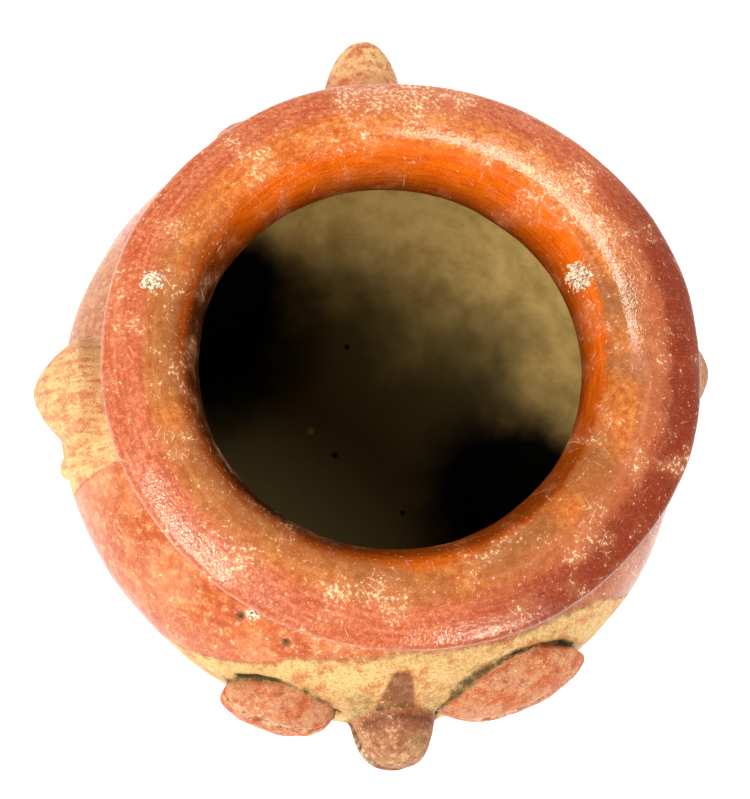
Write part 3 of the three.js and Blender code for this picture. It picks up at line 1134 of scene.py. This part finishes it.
# Dark olive brown of soil and dark grains, also painted as a shadow line round the muzzle's root
SOIL_AND_SHADOW = srgb(54, 42, 16)
CLAY = srgb(210, 142, 102)
CLAY_DARK = srgb(136, 74, 48)
MUZZLE = srgb(134, 88, 60)
DUST = srgb(164, 130, 86)
KHAKI = srgb(222, 190, 118)
KHAKI_DARK = srgb(180, 148, 84)
# Dark olive towards the inside floor
DEEP_OLIVE = srgb(70, 62, 34)
# Near black: bits on the inside floor, and painted shadows of the rim
SOOT_AND_SHADOW = srgb(5, 5, 4)

# Worn places on the rim, as (x, y, z) and how far they spread
WORN_PLACES = [
    ((-14, 84, 147), 20),
    ((14, 85, 147), 20),
    ((0, 80, 149), 16),
    ((-20, -77, 149), 17),
    ((-50, 57, 149), 11),
    ((50, 50, 150), 22),
    ((-68, -64, 144), 22),
]
# Spots where the slip is gone: the spall, a scuff on the rim and a blotch on the shoulder
CHIPS = [(SPALL, SPALL_RADIUS), ((-78.7, 15.9, 149.2), 3.2), ((-48.5, -76.5, 116.9), 2.0)]
# Scratches on the rim, as the way they run, their width and their length
SCRATCHES = [(18, 0.2, 5), (62, 0.2, 4), (118, 0.25, 6), (-35, 0.2, 5), (90, 0.2, 3)]
# Black shadows of the rim painted inside the jar, as a place and a reach
SHADOW_CLOUDS = [((-56, 52, 30), 58), ((66, -22, 22), 50)]
FLOOR_BITS = [
    ((2.4, 47.3, 13.8), 1.4, SOOT_AND_SHADOW),
    ((-35.4, 32.1, 13.9), 1.2, SOOT_AND_SHADOW),
    ((-3.8, 1.5, 9.3), 1.6, SOOT_AND_SHADOW),
    ((22.9, -23.4, 11.2), 1.4, SOOT_AND_SHADOW),
    ((-13.6, 11.5, 10.2), 1.8, OLIVE),
]


def throat_slip_and_shade(f):
    """Orange slip brushed round the throat, with painted shade deep down, most on the left and in front."""
    colour = f.mix(f.step(f.strokes(0.8, 14, 4.0, shift=7.0), 0.3, 0.68), THROAT_RED, THROAT)
    colour = f.paint(colour, ORANGE, f.step(f.grain(6, 5.0, 0.65, shift=2.2), 0.5, 0.68), 0.35)
    deep = f.fall(f.arc, -13, -1)
    left = f.toward(-1.0, -0.35, 20, 60)
    upper = f.step(f.arc, -9, -4)
    # Painted shade on the throat's left side, which is turned away from the light: drab high up, dark brown
    # deep down
    colour = f.paint(colour, DRAB, left, upper, 0.8)
    low = f.fall(f.arc, -24, -10)
    front = f.times(f.toward(0.0, -1.0, -10, 50), f.fall(f.arc, -12, -3))
    # Painted shade deep in the throat all round, and in front below the crest
    colour = f.paint(colour, THROAT_SHADE, f.most(low, front), 0.75)
    return f.paint(colour, THROAT_SHADE, left, deep, 0.94)


def rim_slip(f):
    """The rim from its throat to its edge, by distance along its outline from the crest."""
    arc = f.stirred(f.arc, f.coarse, 8.0)
    stroke = f.strokes(1.2, 20, 3.0, shift=4.0)
    mottle = f.grain(1.5, 6.0, 0.7, shift=11.0)
    broad = f.grain(22, 2.0, shift=5.0)
    orange = f.mix(f.step(stroke, 0.3, 0.7), ORANGE_DARK, ORANGE)
    orange = f.paint(orange, GOLD, f.step(f.blot, 0.42, 0.66), 0.6)
    # The drab band between the crest and the throat, strongest in front, is partly worn slip and partly
    # painted shade where the rim turns down into the throat
    toward_snout = f.times_plus(f.y, -0.8, f.times(f.math("ABSOLUTE", f.x), 0.4))
    dusky = f.times(f.step(toward_snout, -20, 15), f.step(broad, 0.2, 0.6))
    drab = f.paint(orange, DRAB, dusky, 0.8)
    orange = f.paint(orange, DRAB, dusky, 0.6)
    band = f.mix(f.step(stroke, 0.34, 0.66), RUST, BRICK)
    band = f.paint(band, PURPLE, f.fall(mottle, 0.36, 0.52), 0.6)
    band = f.paint(band, SALMON, f.step(mottle, 0.5, 0.64), 0.5)
    right = f.toward(1.0, -0.36, 22, 76)
    outer = f.step(f.stirred(arc, broad, 14.0), 1, 12)
    band = f.paint(band, MAROON, right, outer, 0.85)
    orange = f.paint(orange, DUSKY_PINK, right, 0.6)
    inner = f.times_plus(right, 6.5, arc)
    colour = f.mix(f.step(inner, -6.5, -2.5), throat_slip_and_shade(f), drab)
    colour = f.mix(f.step(arc, -1, 3), colour, orange)
    return f.mix(f.step(arc, 4, 10), colour, band)


def body_slip(f):
    """Red slip burnished on the body, more orange and paler in clouds."""
    cloud = f.grain(17, 4.0, 0.6, shift=3.0)
    stroke = f.strokes(1.5, 18, 3.0)
    colour = f.mix(f.step(stroke, 0.4, 0.62), RUST, BODY)
    colour = f.paint(colour, SALMON, f.step(cloud, 0.45, 0.6), 0.6)
    colour = f.paint(colour, ORANGE, f.step(f.coarse, 0.5, 0.62), 0.6)
    colour = f.paint(colour, PURPLE, f.fall(f.blot, 0.34, 0.5), 0.28)
    colour = f.paint(colour, STRAW, f.step(f.blot, 0.5, 0.66), 0.55)
    return f.paint(colour, PURPLE, f.toward(1.0, -0.35, 35, 100), 0.45)


def face_cream(f):
    """Straw-coloured slip round the face, with brown grains."""
    cloud = f.grain(7, 5.0, 0.7, shift=6.0)
    colour = f.paint(STRAW, BODY, f.step(cloud, 0.46, 0.62), 0.75)
    colour = f.paint(colour, CREAM, f.step(f.blot, 0.46, 0.64), 0.7)
    return f.paint(colour, OLIVE, f.fall(f.fine, 0.34, 0.5), 0.6)


def side_cream(f):
    """Cream slip round the side lugs, striped and blotched with red."""
    stripes = f.grain(2.4, 5.0, 0.72, shift=1.0, stretch=(5, 1, 5))
    colour = f.mix(f.step(stripes, 0.42, 0.58), CREAM, SALMON)
    colour = f.paint(colour, STRAW, f.step(f.blot, 0.5, 0.58), 0.6)
    colour = f.paint(colour, BRICK, f.fall(f.blot, 0.38, 0.48), 0.5)
    return f.paint(colour, OLIVE, f.fall(f.fine, 0.36, 0.46), 0.25)


def inside_clay(f):
    """Bare clay, darker olive towards the floor, with black painted shadows of the rim in two clouds, and
    bits on the floor.
    """
    clay = f.mix(f.step(f.grain(11, 5.0, 0.6, shift=2.0), 0.25, 0.75), KHAKI_DARK, KHAKI)
    cloud = f.less(f.grain(30, 3.0, shift=6.0), 0.5)
    # Darker olive towards the floor
    toward_floor = f.fall(f.times_plus(cloud, 30, f.z), 13, 46)
    colour = f.mix(toward_floor, clay, DEEP_OLIVE)
    # Painted shadows of the rim, black
    for place, radius in SHADOW_CLOUDS:
        reach = f.times_plus(cloud, 24, f.distance(place))
        colour = f.mix(f.fall(reach, 0.5 * radius, radius), colour, SOOT_AND_SHADOW)
    for place, radius, tint in FLOOR_BITS:
        colour = f.mix(f.fall(f.distance(place), 0.6 * radius, radius), colour, tint)
    return colour


def lump_clay(f, tone):
    """Clay of the lumps: worn brown, or the side lugs' cream, redder on the right."""
    if tone == "cream":
        return f.paint(side_cream(f), MAROON, f.step(f.x, 60, 90), 0.6)
    patchy = f.grain(7, 5.0, 0.65, shift=12.0)
    colour = f.mix(f.step(patchy, 0.42, 0.58), CLAY, BODY)
    colour = f.paint(colour, CLAY_DARK, f.fall(f.blot, 0.36, 0.5), 0.6)
    colour = f.paint(colour, STRAW, f.step(f.blot, 0.52, 0.64), 0.6)
    tail = f.times(f.step(f.y, 100, 112), f.step(f.grain(4, 5.0, 0.7, shift=14.0), 0.42, 0.54))
    return f.paint(colour, CREAM, tail, 0.8)


def muzzle_colour(f, colour):
    """The muzzle's dusty brown, pink in spots, with a painted shadow line round the root of its top."""
    muzzle = f.step(f.zone("out"), 1.5, 3.5)
    dusty = f.mix(f.step(f.coarse, 0.4, 0.6), MUZZLE, DUST)
    colour = f.paint(colour, dusty, muzzle, 0.75)
    colour = f.paint(colour, PINK, muzzle, f.step(f.blot, 0.5, 0.62), 0.5)
    out = f.stirred(f.zone("out"), f.blot, 4.0)
    top = f.step(f.z, 91, 98)
    brown = f.times(f.between(out, 0.6, 5.5, 1.0), top)
    colour = f.paint(colour, CLAY_DARK, brown, 0.7)
    # Painted shadow: a dark line where the muzzle's top leaves the wall
    line = f.times(f.between(out, 2.4, 3.4, 0.5), top)
    return f.paint(colour, SOIL_AND_SHADOW, line, 0.5)


def wear_cluster(f):
    """How crowded the worn crumbs are, from 0 to 1, thickest round the worn places."""
    density = f.less(f.grain(13, 4.0, 0.6, shift=8.0), 0.5)
    for place, radius in WORN_PLACES:
        density = f.times_plus(f.haze(place, radius), 0.13, density)
    return f.step(density, -0.04, 0.26)


def wall_slips(f):
    """The slips on the wall: their colour, and how matt and how soiled they are."""
    cream = f.ragged(f.zone("cream"), f.cloud, 2.2, 0.3)
    side = f.ragged(f.zone("side_cream"), f.cloud, 1.6, 0.25)
    colour = f.mix(cream, body_slip(f), face_cream(f))
    colour = f.mix(side, colour, side_cream(f))
    return colour, f.most(cream, side), f.ragged(f.zone("soil"), f.blot, 1.0, 0.25)


def red_mark(f, colour):
    """The red mark above the snout, worn thin in spots."""
    spot = f.ragged(f.zone("spot"), f.cloud, 1.5, 0.4)
    return f.paint(colour, SPOT, spot, f.times_plus(f.step(f.blot, 0.35, 0.6), 0.25, 0.65))


def with_wear(f, colour, cluster):
    """Dark grains, crumbs of pale clay showing and pale dots. Also says where the crumbs are."""
    kept = f.times_plus(f.fall(f.arc, -16, -5), -0.7, 1.0)
    crumbs = f.times(f.step(f.times_plus(cluster, 0.13, f.crumbs), 0.61, 0.72), kept)
    dots = f.times(f.step(f.fine, 0.65, 0.69), kept)
    grains = f.fall(f.grain(1.1, 4.0, 0.65, shift=4.4), 0.28, 0.36)
    colour = f.paint(colour, SOIL_AND_SHADOW, grains, 0.6)
    colour = f.paint(colour, SALMON, cluster, 0.35)
    colour = f.paint(colour, f.mix(f.step(f.blot, 0.4, 0.6), STRAW, PALE), crumbs, 0.75)
    return f.paint(colour, PALE, dots, 0.8), crumbs


def rim_scratches(f, cluster):
    """Where the rim is scratched, most where it is worn."""
    lines = f.most(*(f.scratches(*each) for each in SCRATCHES))
    return f.times(lines, f.step(f.times_plus(cluster, 0.2, f.coarse), 0.5, 0.65))


def rim_edge_highlight(f, colour):
    """A pale line painted along the rim's edge as a highlight, strongest on the left."""
    edge = f.between(f.arc, 22.0, 23.8, 0.25)
    left = f.toward(-1.0, -0.6, 0, 60)
    strength = f.times(f.times_plus(left, 0.75, 0.2), f.step(f.coarse, 0.3, 0.5))
    return f.paint(colour, PALE, edge, strength)


def soiled(f, colour, soil):
    """Olive soil, dark where it lies deep."""
    deep = f.times(f.step(f.zone("soil"), 0.5, 0.8), f.fall(f.fine, 0.48, 0.7))
    deep = f.most(deep, f.zone("crevice"))
    return f.paint(colour, f.mix(deep, OLIVE, SOIL_AND_SHADOW), soil, 0.92)


def grained(f, colour, matt, inside):
    """Fine light and dark grain, stronger on matt slip and left out inside the jar."""
    shade = f.less(f.grain(0.5, 4.0, 0.7, shift=5.5), 0.5)
    shade = f.times(shade, f.times_plus(matt, 0.9, 0.9))
    shade = f.stirred(shade, f.blot, 0.5)
    shade = f.times_plus(shade, f.rest(inside), 1.02)
    grey = f.add("ShaderNodeCombineColor", {0: shade, 1: shade, 2: shade}).outputs[0]
    return f.mix(1.0, colour, grey, "MULTIPLY")


MATT_SPECULAR = 0.04
RIM_SPECULAR = 0.5
BODY_SPECULAR = 0.3


def fired_clay(name, part, tone="clay"):
    """The jar's finish on its rim, its rings or its lumps. Its zones run on from piece to piece."""
    f = Finish(name)
    cluster = wear_cluster(f)
    matt = soil = lump = inside = 0.0
    if part == "rim":
        colour = rim_slip(f)
    else:
        colour, matt, soil = wall_slips(f)
    if part == "ring":
        colour = red_mark(f, colour)
        depth = f.times(f.arc, -1.0)
        inside = f.step(depth, 27, 30)
        colour = f.mix(f.step(depth, 8, 9), colour, throat_slip_and_shade(f))
    if part == "lump":
        lump = f.zone("lump")
        colour = red_mark(f, f.mix(lump, colour, lump_clay(f, tone)))
        if tone == "clay":
            colour = muzzle_colour(f, colour)
            soil = f.most(soil, f.ragged(f.times(f.zone("crevice"), 0.7), f.blot, 1.4, 0.3))

    colour, crumbs = with_wear(f, colour, cluster)
    heights = [
        (f.strokes(0.8, 22, 1.0, shift=9.0), 0.04),
        (f.grain(0.8, 2.0, shift=7.7), 0.14),
        (f.grain(4, 2.0, shift=6.6), 0.2),
    ]
    if part == "rim":
        lines = rim_scratches(f, cluster)
        # Scratches, then a painted highlight along the rim's edge
        colour = rim_edge_highlight(f, f.paint(colour, PALE, lines, 0.7))
        heights.append((lines, -0.03))
    else:
        colour = soiled(f, colour, soil)
        rough = f.most(lump, matt, soil)
        heights += [(f.times(rough, f.coarse), 0.5), (f.times(rough, f.blot), 0.3)]
        heights.append((f.times(matt, f.fine), 0.2))
    if part == "lump":
        colour = f.paint(colour, PALE, f.zone("ridge"), f.step(f.blot, 0.4, 0.6))
    for place, radius in CHIPS:
        tint = f.mix(f.step(f.fine, 0.42, 0.55), DRAB, PALE)
        colour = f.mix(f.chip(place, radius, f.crumbs), colour, tint)
    if part == "ring":
        colour = f.mix(inside, colour, inside_clay(f))
    colour = grained(f, colour, matt, inside)

    flat = f.times(f.most(matt, lump, soil, crumbs), 0.6)
    flat = f.most(flat, f.fall(f.arc, -8, -5), inside)
    if part == "rim":
        crest = f.between(f.arc, -9, 2.5, 1.5)
        flat = f.most(flat, f.times(crest, f.fall(f.sum(f.x, f.y), 45, 75)))
    gloss = f.times_plus(f.grain(4, 4.0, 0.6, shift=3.3), 0.2, 0.08)
    roughness = f.times_plus(flat, 0.55, gloss)
    specular = RIM_SPECULAR if part == "rim" else BODY_SPECULAR
    specular = f.times_plus(flat, MATT_SPECULAR - specular, specular)
    return f.finish(colour, roughness, f.bumped(heights), specular)


# The studio

CAMERA_TARGET = (-13.4, -17.4, 143.0)
CAMERA_AZIMUTH = -122.64
CAMERA_ELEVATION = 69.07
CAMERA_ROLL = 31.5
CAMERA_DISTANCE = 340.8
FOCAL_LENGTH = 51.81
SENSOR_HEIGHT = 36


def turned_to(azimuth, elevation):
    """A turn that makes a camera or a light look at the origin from a direction."""
    turn = Matrix.Rotation(math.radians(azimuth + 90), 4, "Z")
    return turn @ Matrix.Rotation(math.radians(90 - elevation), 4, "X")


def add_camera():
    camera = add_object("camera", bpy.data.cameras.new("camera"))
    target = Matrix.Translation([value * MM for value in CAMERA_TARGET])
    roll = Matrix.Rotation(math.radians(CAMERA_ROLL), 4, "Z")
    back = Matrix.Translation((0, 0, CAMERA_DISTANCE * MM))
    camera.matrix_world = target @ turned_to(CAMERA_AZIMUTH, CAMERA_ELEVATION) @ roll @ back
    camera.data.sensor_fit = "VERTICAL"
    camera.data.sensor_height = SENSOR_HEIGHT
    camera.data.lens = FOCAL_LENGTH
    camera.data.clip_start = 0.01
    bpy.context.scene.camera = camera


WHITE = (1.0, 1.0, 1.0)
WARM = (1.0, 0.92, 0.78)

# Soft lights a metre from the jar's mouth: azimuth, elevation, width and height in metres,
# power in watts, and whether they light surfaces or are only seen reflected in them
SOFTBOXES = {
    "key": (-140, 43, 1.2, 0.6, 9.8, "diffuse"),
    "left_fill": (162, 30, 0.6, 0.5, 2.8, "diffuse"),
    "front": (-57, 36, 0.5, 0.4, 3.4, "diffuse"),
    "back": (52, 56, 0.5, 0.4, 6.5, "diffuse"),
    "left_strip": (-146, 43, 0.4, 0.06, 5, "glossy"),
    "front_strip": (-61, 33, 0.22, 0.05, 3.2, "glossy"),
    "back_strip": (56, 62, 0.2, 0.5, 6, "glossy"),
}


def add_softbox(name, azimuth, elevation, width, height, power, only):
    light = bpy.data.lights.new(name, "AREA")
    light.shape = "ELLIPSE"
    light.size = width
    light.size_y = height
    light.energy = power
    light.color = WARM if only == "glossy" else WHITE
    box = add_object(name, light)
    box.visible_glossy = only != "diffuse"
    box.visible_diffuse = only != "glossy"
    mouth = Matrix.Translation((0, 0, RIM_EDGE_HEIGHT * MM))
    box.matrix_world = mouth @ turned_to(azimuth, elevation) @ Matrix.Translation((0, 0, 1))


FLOOR_HALF_WIDTH = 3.0  # in metres
FLOOR_COLOUR = (0.9, 0.9, 0.9, 1)
FLOOR_ROUGHNESS = 0.9
FLOOR_GLOW = 0.45


def add_floor():
    mesh = bpy.data.meshes.new("floor")
    half = FLOOR_HALF_WIDTH
    corners = [(-half, -half, 0), (half, -half, 0), (half, half, 0), (-half, half, 0)]
    mesh.from_pydata(corners, [], [(0, 1, 2, 3)])
    material = bpy.data.materials.new("pale_floor")
    material.use_nodes = True
    shader = material.node_tree.nodes["Principled BSDF"]
    shader.inputs["Base Color"].default_value = FLOOR_COLOUR
    shader.inputs["Roughness"].default_value = FLOOR_ROUGHNESS
    shader.inputs["Emission Color"].default_value = (1, 1, 1, 1)
    shader.inputs["Emission Strength"].default_value = FLOOR_GLOW
    mesh.materials.append(material)
    floor = add_object("floor", mesh)


HORIZON = (1.0, 0.94, 0.84, 1)
ZENITH = (0.13, 0.13, 0.13, 1)
DARKENING = (0.02, 0.3)  # where it starts and ends, as the sine of the height above the horizon


def add_world():
    """A pale horizon that darkens overhead."""
    world = bpy.data.worlds.new("studio")
    bpy.context.scene.world = world
    nodes = Nodes(world)
    way = nodes.add("ShaderNodeTexCoord").outputs["Generated"]
    up = nodes.add("ShaderNodeSeparateXYZ", {"Vector": way}).outputs[2]
    colour = nodes.mix(nodes.step(up, *DARKENING), HORIZON, ZENITH)
    nodes.feed(world.node_tree.nodes["Background"].inputs["Color"], colour)


def main():
    add_camera()
    add_world()
    add_floor()
    for name, settings in SOFTBOXES.items():
        add_softbox(name, *settings)
    bpy.context.scene.view_settings.view_transform = "Standard"
    materials = {
        "red_slip": fired_clay("red_slip_finish", "ring"),
        "orange_slip": fired_clay("orange_slip_finish", "rim"),
        "cream_slip": fired_clay("cream_slip_finish", "lump", "cream"),
        "worn_clay": fired_clay("worn_clay_finish", "lump"),
    }
    grid = wall_grid()
    for ring in range(len(RINGS)):
        ring_piece(ring, grid, materials)
    for patch in PATCHES:
        patch_piece(patch, materials)


main()
